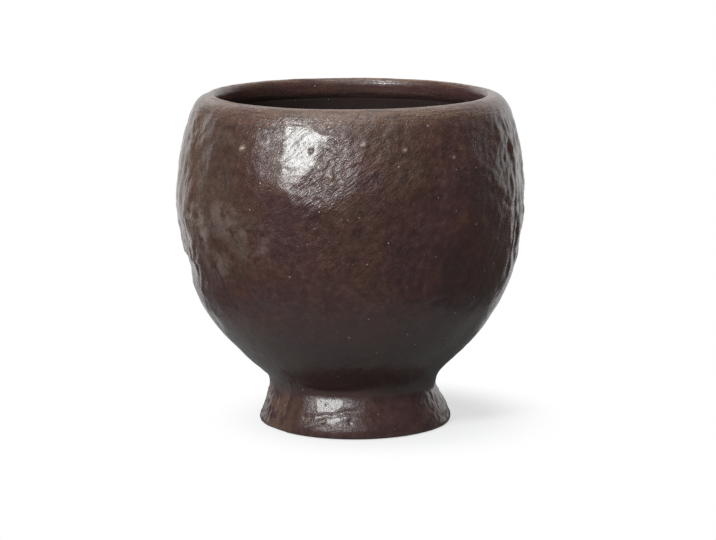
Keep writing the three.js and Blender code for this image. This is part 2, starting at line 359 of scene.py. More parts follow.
def makeGlaze(name, darkTone):
    made, tree = newMaterial(name)
    g = brownGlaze
    place = addNode(tree, "ShaderNodeTexCoord").outputs["Object"]
    shifted = addNode(tree, "ShaderNodeMapping", {"Vector": place, "Location": g["patchShift"]}).outputs[0]
    patch, smudge, mottle, crystals = (
        addNode(tree, "ShaderNodeTexNoise", {
            "Vector": where, "Scale": 1 / (size * mm), "Detail": detail, "Roughness": rough}).outputs["Fac"]
        for where, (size, detail, rough) in (
            (shifted, g["patch"]), (place, g["smudge"]), (place, g["mottle"]), (place, g["crystal"])))
    # what the shape of the coat says, point by point; a shade that a piece lacks is 0
    oliveToned, greySheenShare, darkened, wear, lined, paintedGlint, flowed, stroked, combed = (
        addNode(tree, "ShaderNodeAttribute", attribute_name=shade).outputs["Fac"] for shade in (
            "oliveToned", "greySheenShare", "darkened", "wear", "lined", "paintedGlint", "flowed", "stroked", "combed"))
    # noise drawn out one way: fine lines round the lip, combing down the sides and slanting strokes
    slant = addNode(tree, "ShaderNodeMapping", {
        "Vector": place, "Rotation": (0, radians(g["strokeTurn"]), 0)}).outputs[0]
    drawn = []
    for where, sizes in ((place, g["lineSize"]), (place, g["combSize"]), (slant, g["strokeSize"])):
        stretched = addNode(tree, "ShaderNodeMapping", {
            "Vector": where, "Scale": [1 / (size * mm) for size in sizes]})
        drawn.append(addNode(tree, "ShaderNodeTexNoise", {
            "Vector": stretched.outputs[0], "Scale": 1, "Detail": g["drawnDetail"]}).outputs["Fac"])
    lines, comb, strokes = drawn
    # grainy where the glaze lies thin, and even where it flowed out
    rugged = addNode(tree, "ShaderNodeMapRange", {
        "Value": flowed, "To Min": 1, "To Max": g["flowedGrain"]}).outputs[0]
    # thin along broken, crumbly lines, and where it wore
    lineStart, lineFull = g["lineRange"]
    uneven = addNode(tree, "ShaderNodeMapRange", {
        "Value": lines, "From Min": lineStart, "From Max": lineFull, "To Max": g["lineGain"]})
    crumbStart, crumbFull = g["crumbRange"]
    leastCrumb, mostCrumb = g["crumbGain"]
    crumbs = addNode(tree, "ShaderNodeMapRange", {
        "Value": crystals, "From Min": crumbStart, "From Max": crumbFull,
        "To Min": leastCrumb, "To Max": mostCrumb})
    uneven = addNode(tree, "ShaderNodeMath", {
        0: uneven.outputs[0], 1: crumbs.outputs[0]}, operation="MULTIPLY")
    thin = addNode(tree, "ShaderNodeMath", {
        0: lined, 1: uneven.outputs[0], 2: wear}, operation="MULTIPLY_ADD", use_clamp=True).outputs[0]
    # pale specks, each a tiny blister and partly a painted glint, with the painted glints on the larger
    # blisters; and pinholes
    cell = addNode(tree, "ShaderNodeTexVoronoi", {"Vector": place, "Scale": 1 / (g["speckSpacing"] * mm)})
    reach = g["speckSize"] / g["speckSpacing"]
    speckGlint = addNode(tree, "ShaderNodeMapRange", {
        "Value": cell.outputs["Distance"], "From Min": reach, "From Max": reach / 2})
    pick = addNode(tree, "ShaderNodeSeparateColor", {"Color": cell.outputs["Color"]})
    fewest, most = g["speckChosen"]
    chosen = addNode(tree, "ShaderNodeMapRange", {
        "Value": pick.outputs[0], "From Min": fewest, "From Max": most})
    speckGlint = addNode(tree, "ShaderNodeMath", {
        0: speckGlint.outputs[0], 1: chosen.outputs[0]}, operation="MULTIPLY").outputs[0]
    paintedGlint = addNode(tree, "ShaderNodeMath", {0: speckGlint, 1: paintedGlint}, operation="MAXIMUM").outputs[0]
    hole = addNode(tree, "ShaderNodeTexVoronoi", {"Vector": place, "Scale": 1 / (g["pinholeSpacing"] * mm)})
    reach = g["pinholeSize"] / g["pinholeSpacing"]
    hole = addNode(tree, "ShaderNodeMapRange", {
        "Value": hole.outputs["Distance"], "From Min": reach / 2, "From Max": reach}).outputs[0]
    # colours from the ground up: each layer is a tone and how much of it lies over the last. The grey sheen
    # layer is a painted reflection
    patch = addNode(tree, "ShaderNodeMath", {0: patch, 1: oliveToned}).outputs[0]
    layers = []
    for tone, field, (start, full), share, times, easing in (
            ("olive", patch, g["oliveRange"], 1, None, "SMOOTHSTEP"),
            ("plum", patch, g["plumRange"], 1, None, "SMOOTHSTEP"),
            ("dark", smudge, g["darkSmudge"], g["smudgeShare"], None, "LINEAR"),
            ("light", smudge, g["lightSmudge"], g["smudgeShare"], None, "LINEAR"),
            ("dark", mottle, g["darkFreckle"], 1, rugged, "LINEAR"),
            ("light", mottle, g["lightFreckle"], 1, rugged, "LINEAR"),
            ("greySheen", smudge, g["greySheenRange"], 1, greySheenShare, "LINEAR")):
        amount = addNode(tree, "ShaderNodeMapRange", {
            "Value": field, "From Min": start, "From Max": full, "To Max": share}, interpolation_type=easing)
        if times:
            amount = addNode(tree, "ShaderNodeMath", {0: amount.outputs[0], 1: times}, operation="MULTIPLY")
        layers.append((tone, amount.outputs[0]))
    colour = srgb(g["brown"])
    for tone, amount in layers + [(darkTone, darkened), ("thin", thin), ("speckGlint", paintedGlint)]:
        colour = addNode(tree, "ShaderNodeMix", {
            "Factor": amount, 6: colour, 7: srgb(g[tone])}, data_type="RGBA").outputs[2]
    # a little rougher where it is grainy, and shinier where it was combed
    start, full = g["roughRange"]
    least, most = g["roughness"]
    rough = addNode(tree, "ShaderNodeMapRange", {
        "Value": mottle, "From Min": start, "From Max": full, "To Min": least, "To Max": most})
    rougher = addNode(tree, "ShaderNodeMapRange", {
        "Value": flowed, "To Min": g["ruggedRoughness"], "To Max": 0})
    rough = addNode(tree, "ShaderNodeMath", {0: rough.outputs[0], 1: rougher.outputs[0]})
    rough = addNode(tree, "ShaderNodeMath", {
        0: combed, 1: g["combedRoughness"], 2: rough.outputs[0]}, operation="MULTIPLY_ADD")
    # bumps one over another; the crystals come last and lie under the skin, so only the body has them
    normals = []
    for height, strength, size in (
            (strokes, stroked, g["strokeHeight"]), (comb, combed, g["combHeight"]),
            (speckGlint, 1, g["speckHeight"]), (hole, 1, g["pinholeDepth"]),
            (lines, lined, g["lineHeight"]), (crystals, rugged, g["crystalHeight"])):
        last = {"Normal": normals[-1]} if normals else {}
        normals.append(addNode(tree, "ShaderNodeBump", {
            "Height": height, "Strength": strength, "Distance": size * mm, **last}).outputs[0])
    skin, body = normals[-2:]
    shader = addNode(tree, "ShaderNodeBsdfPrincipled", {
        "Base Color": colour, "Roughness": rough.outputs[0], "IOR": g["ior"],
        "Specular IOR Level": g["bodyShine"], "Normal": body, "Coat Weight": g["skin"],
        "Coat Roughness": g["skinRoughness"], "Coat IOR": g["ior"], "Coat Normal": skin})
    addNode(tree, "ShaderNodeOutputMaterial", {"Surface": shader.outputs[0]})
    return made


# Bare fired stoneware: dry and matt, warm grey-brown, with dark iron spots and pale grit. Sizes in mm
bareClay = {
    "clay": "#6f5343",
    "shade": "#54402f",
    "iron": "#2b201a",
    "grit": "#9c8470",
    "toneNoise": (9, 4, 0.6),  # size, detail and roughness
    "gritNoise": (0.6, 3, 0.7),
    "gritRange": (0.55, 0.75),
    "gritHeight": 0.1,
    "spotSpacing": 2.4,
    "spotRange": (0.16, 0.09),  # shares of the spacing
    "roughness": 0.85,
    "ior": 1.5,
}


def makeClay():
    made, tree = newMaterial("bareFiredStoneware")
    c = bareClay
    place = addNode(tree, "ShaderNodeTexCoord").outputs["Object"]
    tone, grit = (
        addNode(tree, "ShaderNodeTexNoise", {
            "Vector": place, "Scale": 1 / (size * mm), "Detail": detail, "Roughness": rough}).outputs["Fac"]
        for size, detail, rough in (c["toneNoise"], c["gritNoise"]))
    cell = addNode(tree, "ShaderNodeTexVoronoi", {"Vector": place, "Scale": 1 / (c["spotSpacing"] * mm)})
    colour = addNode(tree, "ShaderNodeMix", {
        "Factor": tone, 6: srgb(c["shade"]), 7: srgb(c["clay"])}, data_type="RGBA").outputs[2]
    for fleck, field, (start, full) in (("grit", grit, c["gritRange"]),
                                        ("iron", cell.outputs["Distance"], c["spotRange"])):
        amount = addNode(tree, "ShaderNodeMapRange", {"Value": field, "From Min": start, "From Max": full})
        colour = addNode(tree, "ShaderNodeMix", {
            "Factor": amount.outputs[0], 6: colour, 7: srgb(c[fleck])}, data_type="RGBA").outputs[2]
    bump = addNode(tree, "ShaderNodeBump", {"Height": grit, "Strength": 1, "Distance": c["gritHeight"] * mm})
    shader = addNode(tree, "ShaderNodeBsdfPrincipled", {
        "Base Color": colour, "Roughness": c["roughness"], "IOR": c["ior"], "Normal": bump.outputs[0]})
    addNode(tree, "ShaderNodeOutputMaterial", {"Surface": shader.outputs[0]})
    return made


dippedGlaze = makeGlaze("darkBrownStonewareGlazeDipped", "darkened")
pouredGlaze = makeGlaze("darkBrownStonewareGlazePoured", "darkInsideWithVeil")
clay = makeClay()
print("materials: glaze and bare clay made")


# Flats left by the paddle, each a plane that takes a little off the round wall. The listed ones are
# angle, height and depth on the wall, the way the flat faces, round and up, and how soft its edge is
paddle = {
    "count": 110,
    "low": 24,
    "high": 79,
    "spin": 15,
    "depth": (0.12, 0.5),
    "tilt": 3.5,
    "crease": 0.1,
    "ragged": (2.2, 0.1, 70),  # size, depth and shift
    "burnished": (-0.05, 0.15),
    "reach": 11,
    "listedReach": 20,
    "keepClear": (-12, 30, 42),  # middle and half angle, and the height above which the front is clear
    "lowShare": 0.35,
    "lowBand": (30, 48),
    "seed": 5,
    "listed": [(-14.5, 76.5, 0.65, -15.2, 20.5, 0.04), (-8, 81, 0.49, -11.2, 28.7, 0.1),
               (-5, 76, 0.3, -8.8, 17.9, 0.3), (-10, 68.5, -0.02, -8.6, 15.2, 0.4),
               (-26, 75.5, 0.17, -22.6, 20.2, 0.4)],
}


# The larger of two depths, with a soft crease where they meet
def softMax(a, b, crease):
    share = np.clip(0.5 + 0.5 * (b - a) / crease, 0, 1)
    return a + (b - a) * share + crease * share * (1 - share)


def paddledOff(points, line):
    p = paddle
    dice = np.random.default_rng(p["seed"])
    rising = line[:np.argmax(line[:, 1])]
    facing = np.degrees(np.arctan2(*outward(rising).T[::-1]))
    middle, half, low = p["keepClear"]
    flats = []
    for i in range(p["count"]):
        angle = i * fingers["turn"] + dice.uniform(-p["spin"], p["spin"])
        height = p["low"] + (p["high"] - p["low"]) * (i + 0.5) / p["count"]
        depth = dice.uniform(*p["depth"]) * atLeast(p["lowShare"], smooth(height, *p["lowBand"]))
        turn, rise = dice.uniform(-p["tilt"], p["tilt"], 2)
        if height > low and abs(turnFrom(radians(angle), middle)) < radians(half):
            continue
        faces = np.interp(height, rising[:, 1], facing) + rise
        flats.append((angle, height, depth, angle + turn, faces, p["crease"]))
    cuts, creases = [], []
    for i, (angle, height, depth, facesRound, facesUp, crease) in enumerate(p["listed"] + flats):
        onWall = roundAxis(np.interp(height, rising[:, 1], rising[:, 0]), radians(angle), height)
        out = roundAxis(np.cos(radians(facesUp)), radians(facesRound), np.sin(radians(facesUp)))
        apart = points - onWall
        reach = p["listedReach"] if i < len(p["listed"]) else p["reach"]
        beyond = np.maximum(np.linalg.norm(apart, axis=-1) - reach, 0)  # a flat ends where the paddle did
        cuts.append(apart @ out + depth - beyond)
        creases.append(crease)
    cuts[0] = cuts[0] + noiseAt(points, *p["ragged"])
    off = 0
    for cut, crease in zip(cuts, creases):
        off = softMax(off, cut, crease)
    # the first flat is the smoothest
    burnished = smooth(cuts[0] - np.max(cuts[1:], axis=0), *p["burnished"])
    return off, burnished


# Marks on the foot: the lapped seam and a crease at the left, a nail mark in front, a flat at the right,
# and a crust all round. A mark is drawn through angles and heights, a range is of heights where nothing
# else is said, and the left and right are a middle angle and two turns from it
footMarks = {
    "top": (20, 16),
    "left": (-90, 25, 60),
    "right": (88, 20, 50),
    "leftFlat": (0.1, 4.5, 2.2),  # depth, height and half width
    "rightSlim": (0.3, 8, 2),
    "rightFull": 0.15,
    "rightFullEnds": (2.5, 6),
    "frontAngle": -15,
    "frontHalf": (0, 36),
    "frontLow": (25.2, 1.2),  # radius and height, as in the flat
    "frontRise": (21.3, 25.5),  # how it leans, below the bend and above
    "frontBend": 5.4,
    "frontRound": 0.8,
    "frontStarts": (0.6, 2),
    "frontEnds": (9.5, 13.5),
    "flatAngle": 84,
    "flatLow": (25.1, 2.5),
    "flatHigh": (20.6, 9.5),
    "flatEnds": (8.5, 10.5),
    "seam": [(-42.9, 13.9), (-47.3, 9.5), (-48.8, 6.8), (-47.7, 3.7), (-46.6, 2)],
    "seamWidth": 0.42,
    "seamRidge": 0.16,
    "seamStep": 0.25,
    "stepStarts": (0, 0.6),  # to the left of the seam
    "stepEnds": (4, 9),
    "stepTop": (9, 13),
    "seamWear": 0.5,
    "wornSeam": ((5, 7), (9, 11)),
    "crustTop": (12, 8),
    "crustStarts": (0.5, 2),
    "crust": [(1.4, 0.1, 14), (0.75, 0.06, 7.5)],  # size, depth and shift
    "crustShare": (0.5, 1.8),  # in front, and more at the sides
    "patches": (2.6, 1, 50),
    "patchRange": (-0.15, 0.25),
    "patchGain": 1.8,
    # the tan patches at the left and right also paint a sheen along those edges
    "patchWearAndSheen": (0.06, 0.3, 0.3),  # in front, and more at the left and right
    "crease": [(-38.5, 18.5), (-36.4, 13.6)],
    "creaseDepth": 0.3,
    "creaseWidth": 0.6,
    "nail": [(-31, 4.6), (-24.5, 5.1), (-17.7, 5.6), (-11, 5.9), (-5, 6.6), (1.5, 6.9)],
    "nailWidth": 0.6,
    "nailDepth": 0.22,
    "waverSize": 1.6,
    "waver": (0.8, 0.8),  # the steady share of the depth, and the share that wavers
    "nip": [(-30.6, 2.4), (-24, 3.3), (-18.5, 4.3)],
    "nipHeight": 0.16,
    "nipWidth": 0.5,
}


# Distance in mm from a mark drawn through places, and which side of it a point lies on
def fromMark(angle, height, radius, places):
    nearest, nearSide = np.full(angle.shape, np.inf), np.zeros(angle.shape)
    for (a, h), (b, k) in zip(places, places[1:]):
        dx, dy = radians(b - a) * radius, k - h
        px, py = turnFrom(angle, a) * radius, height - h
        along = np.clip((px * dx + py * dy) / (dx * dx + dy * dy), 0, 1)
        far = np.hypot(px - along * dx, py - along * dy)
        side = (px * dy - py * dx) / np.sqrt(dx * dx + dy * dy)
        nearSide = np.where(far < nearest, side, nearSide)
        nearest = np.minimum(far, nearest)
    return nearest, nearSide


def footRelief(angle, height, radius):
    f = footMarks
    points = roundAxis(radius, angle, height)
    left, right = (nearAngle(angle, *f[side]) for side in ("left", "right"))
    depth, middle, half = f["leftFlat"]
    relief = -depth * left * bell(height - middle, half)
    depth, middle, half = f["rightSlim"]
    relief = relief + right * (f["rightFull"] * (1 - smooth(height, *f["rightFullEnds"]))
                               - depth * bell(height - middle, half))
    # the front is pressed a little flat, and leans back more than the rest
    turn = np.clip(turnFrom(angle, f["frontAngle"]), -1, 1)
    lean, more = np.tan(np.radians(f["frontRise"]))
    pressed = f["frontLow"][0] - (height - f["frontLow"][1]) * lean
    pressed = pressed - np.maximum(height - f["frontBend"], 0) * (more - lean)
    pressed = pressed * (1 + f["frontRound"] * (1 / np.cos(turn) - 1)) - radius
    near = 1 - smooth(np.abs(turn), *np.radians(f["frontHalf"]))
    relief += pressed * near * between(height, f["frontStarts"], f["frontEnds"])
    # the flat at the right is a plane through two heights
    (r1, z1), (r2, z2) = f["flatLow"], f["flatHigh"]
    tip = np.arctan2(r1 - r2, z2 - z1)
    across = (radius + relief) * np.cos(turnFrom(angle, f["flatAngle"]))
    over = np.maximum((across - r1) * np.cos(tip) + (height - z1) * np.sin(tip), 0)
    relief -= over * (1 - smooth(height, *f["flatEnds"]))
    # lapped seam: a low ridge with the strip's other end set back to its left
    far, side = fromMark(angle, height, radius, f["seam"])
    ridge = bell(far, f["seamWidth"])
    setBack = between(side, f["stepStarts"], f["stepEnds"]) * (1 - smooth(height, *f["stepTop"]))
    relief += f["seamRidge"] * ridge - f["seamStep"] * setBack
    wear = f["seamWear"] * ridge * between(height, *f["wornSeam"])
    # crusty, most of all at the left and right, where the glaze ran thin in patches; the tan patches at the
    # left and right also paint a sheen along those edges
    onFoot = smooth(height, *f["crustTop"])
    front, sides = f["crustShare"]
    crusty = (front + sides * (left + right)) * onFoot * smooth(height, *f["crustStarts"])
    for crust in f["crust"]:
        relief += noiseAt(points, *crust) * crusty
    patchy = f["patchGain"] * smooth(noiseAt(points, *f["patches"]), *f["patchRange"])
    front, atLeft, atRight = f["patchWearAndSheen"]
    wear = wear + (front + atLeft * left + atRight * right) * patchy * onFoot
    # a crease in the neck; a nail mark, shallow and wavering; under it a nip of clay pushed up
    far, _ = fromMark(angle, height, radius, f["crease"])
    relief -= f["creaseDepth"] * bell(far, f["creaseWidth"])
    far, _ = fromMark(angle, height, radius, f["nail"])
    steady, waver = f["waver"]
    relief -= f["nailDepth"] * bell(far, f["nailWidth"]) * (steady + waver * noiseAt(points, f["waverSize"]))
    far, _ = fromMark(angle, height, radius, f["nip"])
    relief += f["nipHeight"] * bell(far, f["nipWidth"])
    below = smooth(height, *f["top"])
    return relief * below, wear * below


# The outer glaze is one closed coat, and carries all the marks of the hand. Sizes and depths in mm. Places
# are degrees from the front, growing to the right, and height above the table; a range is where something
# starts and where it is full, of heights where nothing else is said, and one that ends in Under is of
# depths below the lip's crest
outerGlaze = {
    "columns": 460,
    "rows": 200,
    "backRows": 10,
    "frontShare": 0.42,  # closer columns in front, and closer rows on the upper bowl and the foot
    "upperShare": 1.2,
    "upperRows": (48, 60),
    "footShare": 0.8,
    "footRows": (14, 10),
    "footLine": 0.3,
    "coat": (0.5, 1.5, 2.3),  # at the foot's edge, on the foot and on the bowl
    "coatOnFoot": (1, 3),
    "coatOnBowl": (12, 30),
    "lapLength": 2.4,
    "lapStart": 1,
    "lapDive": 0.5,
    "proud": 0.3,
    "lipWorked": 0.3,  # less worked near the crest, inside the lip and on the foot
    "lipWorkedUnder": (1, 5),
    "insideWorked": 0.2,
    "footWorked": 0.4,
    "footWorkedRange": (9, 20),
    "full": (-12, 66, 17, 10),  # place, half width and half height
    "fullHeight": 1.15,
    "calmRange": (62, 73),
    "calmShare": 0.75,
    "broad": (17, 0.2, 0),  # size, depth and shift, as in the lumps, pebbles and ridges
    "lumps": (4.6, 0.18, 40),
    "pebbles": (1.7, 0.19, 90),
    "pebblePatch": (14, 1, 60),
    "pebblyRange": (-0.35, 0.3),
    "pebbleLeast": 0.35,
    "scrapeSize": (2.1, 2.1, 7),
    "scrapeDepth": 0.1,
    "scrapeLean": 0.65,
    "leanMiddle": 55,
    "leanRadius": 30,
    "sideScrape": 1.0,
    "sideSharpness": 8,
    "sideScrapeRange": (36, 48),
    "lowFine": 0.4,
    "fineRange": (26, 46),
    "ridges": ((2.2, 2.2, 9), 0.45, 20),
    "ridgeTurns": ((58, 72), (115, 135)),
    "ridgeHeights": ((38, 46), (76, 82)),
    "sideAngle": 88,
    "sideReach": (20, 60),
    # heights, and how far the outline is set in there
    "leftSide": [(84, 0.3), (82, 0.5), (78.9, 0.75), (76.6, 0.75), (72, 0.9), (67, 1), (62.8, 0.4),
                 (59.6, -0.15), (56, -0.3), (53, 0), (50, 0.5), (46.8, 0.75), (44.6, 0.8), (43.6, 1.25),
                 (40.3, 1.35), (37, 0.38), (31, 0.03), (26, 0.05), (21, 0.22), (17, -0.08), (14, 0.1),
                 (12.5, 0.36), (10, 0.1), (7, 0.2), (4.5, 0.28), (2, 0.15), (0.5, 0)],
    "rightSide": [(76, 0), (72, 0.25), (68.7, 0.7), (66, 0.75), (62, 0.45), (57, 0.05), (52, 0.2), (45, 0.2),
                  (40, 0)],
    "lipFull": [(-90, 1.0), (90, 0.6)],  # angle and depth
    "lipFullUnder": (5.5, 2.5),
    "lipFullTurn": 38,
    "lipWobble": 0.2,
    "wobbleSize": 0.7,
    "wobbleShift": 3.3,
    "wobbleRange": (74, 84),
    # place, half width and depth
    "pits": [(-12.6, 76.1, 0.5, -0.24), (-9.4, 71.2, 0.42, -0.22), (-2.6, 4.4, 0.5, -0.25)],
    "blisters": [(-37.4, 75.5, 0.7, 0.65), (4.6, 77.5, 0.6, 0.55), (18.1, 76, 0.48, 0.4),
                 (35.3, 73.6, 0.42, 0.37), (-5.8, 70, 0.5, 0.42), (-2, 68.8, 0.44, 0.4),
                 (-7.1, 81.7, 0.44, 0.38), (-41.9, 57.4, 0.4, 0.16), (-42.1, 55.5, 0.36, 0.14),
                 (-23.2, 59.6, 0.36, 0.14), (-3.2, 51.8, 0.4, 0.2), (-13.4, 48.9, 0.36, 0.16),
                 (-12.6, 39.3, 0.45, 0.14), (-32.3, 33.4, 0.45, 0.14), (-31.2, 44.3, 0.4, 0.12),
                 (-42.1, 41.6, 0.36, 0.12), (21.6, 53.1, 0.4, 0.16), (22.1, 46.8, 0.4, 0.14),
                 (43.6, 45.9, 0.4, 0.14), (18.9, 41.8, 0.36, 0.14), (55.1, 55.2, 0.4, 0.14),
                 (12.7, 39.1, 0.5, 0.12), (-50.4, 64.7, 0.4, 0.16)],
    "strayMarks": 150,
    "strayHeight": (14, 79),
    "strayWidth": (0.28, 0.45),
    "strayDepth": (-0.12, 0.14),
    "seed": 11,
}

# How the same coat came to lie: where it is thin, darker, smooth, combed or tinted, and where sheen,
# highlight and glints are painted on it, in the shares that the glaze reads. An entry of three is a share
# and the range it comes in over
glazeFlow = {
    "thinBlister": (0.1, 0.2),  # from this height of a blister, and the share
    # a painted glint on the tops of the larger blisters
    "glintOnBlister": (0.35, 0.55),
    "combTurns": ((48, 66), (120, 150)),
    "combRange": (28, 56),
    "lipUnder": (2, 5),
    # more tan on the left side, also a painted sheen along that edge
    "tanAndSheenLeft": 0.24,
    "tanRight": 0.04,
    "tanRightMore": (0.16, 66, 80),
    "tanScrape": 0.3,
    "tanGain": 2,
    "tanTurns": (125, 80),
    # a paler patch on the lip right of the front, a painted highlight
    "paintedLipHighlight": (28, 15),  # middle and half angle
    "paintedLipHighlightUnder": (0.35, 3, 1),
    "innerLines": 0.12,
    "innerLinesUnder": (0.4, 1.4, 0.3),
    "outerLinesUnder": (0.4, 5, 2),
    "crestLinesUnder": (0.45, 0.4, 0),
    "lowRange": (48, 22),
    "footRange": (12, 9),
    # darker low on the bowl
    "darkenedLow": (0.6, 7, 13),
    "evenFlat": 0.85,
    "evenLow": 0.8,
    "grainyFoot": 0.6,
    "evenRight": (0.7, 72, 60),
    "evenRightTurns": ((5, 35), (48, 62)),
    "evenSides": 0.9,
    "evenSideTurns": ((52, 66), (108.86, 131.78)),
    "evenLipUnder": (0.15, 4, 2),
    "evenInside": 0.85,
    "strokeLess": 0.85,
    "strokeRange": (14, 24),
    "olive": (-50, 70, 17, 13),  # place, half width and half height
    "oliveShare": 0.3,
    # grey patches painted on the left of the belly as a sheen: place, half width, half height and share
    "greySheen": [(-68, 55, 6, 7, 1), (-58, 54, 5, 7, 0.9), (-44, 57, 6, 5, 0.38), (-34, 53, 7, 6, 0.28),
              (-50, 45, 6, 5, 0.38)],
    "greySheenEdge": (1.3, 0.5),
}


# A soft round patch on the wall, 1 in its middle
def patchOn(angle, height, radius, place):
    a, h, wide, tall = place
    return np.exp(-(turnFrom(angle, a) * radius / wide) ** 2 - ((height - h) / tall) ** 2)


# Pits, blisters and stray marks: their relief, how thin they leave the glaze, and painted glints on the
# larger blisters
def spotsOn(angle, height, radius):
    o, g = outerGlaze, glazeFlow
    dice = np.random.default_rng(o["seed"])
    stray = zip(*(dice.uniform(*span, o["strayMarks"]) for span in (
        (-180, 180), o["strayHeight"], o["strayWidth"], o["strayDepth"])))
    relief, wear, paintedGlint = (np.zeros(angle.shape) for _ in range(3))
    thinFrom, thinShare = g["thinBlister"]
    glintFrom, glintShare = g["glintOnBlister"]
    for a, h, width, depth in o["pits"] + o["blisters"] + list(stray):
        spot = bell(np.hypot(turnFrom(angle, a) * radius, height - h), width)
        relief += depth * spot
        wear += thinShare * (depth > thinFrom) * spot
        paintedGlint = np.maximum(paintedGlint, glintShare * (depth > glintFrom) * spot ** 2)
    return relief, wear, paintedGlint


def shapeOuterGlaze(line, angle):
    o, g = outerGlaze, glazeFlow
    radius, height = line[:, :1], line[:, 1:]
    under = cup["height"] - height
    angle = np.broadcast_to(angle, (len(line), len(angle)))
    degrees = np.degrees(angle)
    aside = np.degrees(np.abs(turnFrom(angle, 0)))
    points = roundAxis(radius, angle, height)
    out = outward(line)
    inward = np.arange(len(line))[:, None] >= np.argmax(line[:, 1])  # rows past the lip's crest
    worked = np.where(inward, o["insideWorked"], atLeast(o["lipWorked"], smooth(under, *o["lipWorkedUnder"])))
    worked = worked * atLeast(o["footWorked"], smooth(height, *o["footWorkedRange"]))
    # a little fuller at the front before the paddle flattened it
    full = patchOn(angle, height, radius, o["full"]) * o["fullHeight"]
    off, calm = paddledOff(points + roundAxis(full * out[:, :1], angle, full * out[:, 1:]), line)
    calm = calm * smooth(height, *o["calmRange"])
    # pebbly in patches
    pebbly = smooth(noiseAt(points, *o["pebblePatch"]), *o["pebblyRange"])
    pebbles = noiseAt(points, *o["pebbles"]) * atLeast(o["pebbleLeast"], pebbly)
    # scrapes lean over at the front and stand upright and deeper at the sides
    lean = o["scrapeLean"] * np.maximum(np.cos(angle), 0)
    turned = angle - lean * (height - o["leanMiddle"]) / np.maximum(radius, o["leanRadius"])
    atSides = np.sin(angle) ** o["sideSharpness"] * smooth(height, *o["sideScrapeRange"])
    scrape = noiseAt(roundAxis(radius, turned, height), o["scrapeSize"])
    scrapes = scrape * o["scrapeDepth"] * (1 + o["sideScrape"] * atSides)
    fine = (noiseAt(points, *o["lumps"]) + scrapes + pebbles) * (1 - o["calmShare"] * calm)
    fine *= atLeast(o["lowFine"], smooth(height, *o["fineRange"]))
    # coarse ridges down the right side
    ridged = between(degrees, *o["ridgeTurns"]) * between(height, *o["ridgeHeights"])
    fine += noiseAt(points, *o["ridges"]) * ridged
    relief = (o["proud"] + noiseAt(points, *o["broad"]) + fine + full - off) * worked
    # the left and right outlines, and the lip's inner face, which is fuller there
    for side, middle in (("leftSide", -o["sideAngle"]), ("rightSide", o["sideAngle"])):
        heights, depths = np.array(o[side][::-1]).T
        relief -= nearAngle(angle, middle, *o["sideReach"]) * np.interp(height, heights, depths) * ~inward
    face = np.clip(-out[:, :1], 0, 1) * smooth(under, *o["lipFullUnder"]) * inward
    for middle, depth in o["lipFull"]:
        relief += depth * face * bell(turnFrom(angle, middle), radians(o["lipFullTurn"]))
    spots, wear, paintedGlint = (part * ~inward for part in spotsOn(angle, height, radius))
    footPart, footWear = footRelief(angle, height, radius)
    relief += spots + footPart
    # combed at the sides, and tan where the comb and the scrapes left the glaze thin; the extra tan on the
    # left side is also a painted sheen along that edge
    combed = between(aside, *g["combTurns"]) * smooth(height, *g["combRange"])
    combed = combed * smooth(under, *g["lipUnder"]) * ~inward
    tanned = np.where(degrees > 180, g["tanAndSheenLeft"], g["tanRight"] + comesIn(degrees, *g["tanRightMore"]))
    tanned = tanned + g["tanScrape"] * np.clip(g["tanGain"] * scrape, 0, 1)
    wear = wear + footWear + combed * tanned * smooth(aside, *g["tanTurns"])
    # thin in lines round the lip, most of all on its crest; right of the front it is paler still, a painted
    # highlight on the lip
    middle, half = g["paintedLipHighlight"]
    lipHighlight = comesIn(under, *g["paintedLipHighlightUnder"]) * bell(turnFrom(angle, middle), radians(half)) * ~inward
    lined = np.where(inward, g["innerLines"] + comesIn(under, *g["innerLinesUnder"]),
                     comesIn(under, *g["outerLinesUnder"]))
    lined = lined + lipHighlight + comesIn(under, *g["crestLinesUnder"])
    # darker low on the bowl and inside the lip
    low = smooth(height, *g["lowRange"])
    darkened = np.where(inward, smooth(under, *g["lipUnder"]), comesIn(height, *g["darkenedLow"]) * low)
    # even on the smooth flat, low down, right of the front, at the sides, and a little on the lip
    flowed = np.maximum.reduce(np.broadcast_arrays(
        g["evenFlat"] * calm,
        g["evenLow"] * low - g["grainyFoot"] * smooth(height, *g["footRange"]),
        comesIn(height, *g["evenRight"]) * between(degrees, *g["evenRightTurns"]),
        g["evenSides"] * between(aside, *g["evenSideTurns"]),
        comesIn(under, *g["evenLipUnder"]), paintedGlint))
    flowed = np.where(inward, g["evenInside"], flowed)
    # grey patches on the left of the belly, a painted sheen
    greySheenShare = np.zeros(angle.shape)
    for a, h, wide, tall, share in g["greySheen"]:
        far = np.hypot(turnFrom(angle, a) * radius / wide, (height - h) / tall)
        greySheenShare = np.maximum(greySheenShare, comesIn(far, share, *g["greySheenEdge"]))
    return relief, {
        "wear": np.clip(wear, 0, 1), "paintedGlint": paintedGlint, "lined": lined, "combed": combed, "flowed": flowed,
        "darkened": np.broadcast_to(darkened, angle.shape), "greySheenShare": greySheenShare,
        "stroked": (1 - g["strokeLess"] * flowed) * smooth(height, *g["strokeRange"]),
        "oliveToned": g["oliveShare"] * patchOn(angle, height, radius, g["olive"])}


# The coat is drawn thicker than real glaze on the bowl, so that the deepest flats don't cut through it
def coatDepth(line):
    o, height = outerGlaze, line[:, 1]
    edge, foot, bowl = o["coat"]
    depth = edge + comesIn(height, foot - edge, *o["coatOnFoot"])
    return depth + comesIn(height, bowl - foot, *o["coatOnBowl"])


# Nothing on the cup moves, so every piece rides on its one body
def setPiece(piece, material, node):
    piece.data.materials.append(material)
    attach(piece, "root")
    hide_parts(node)


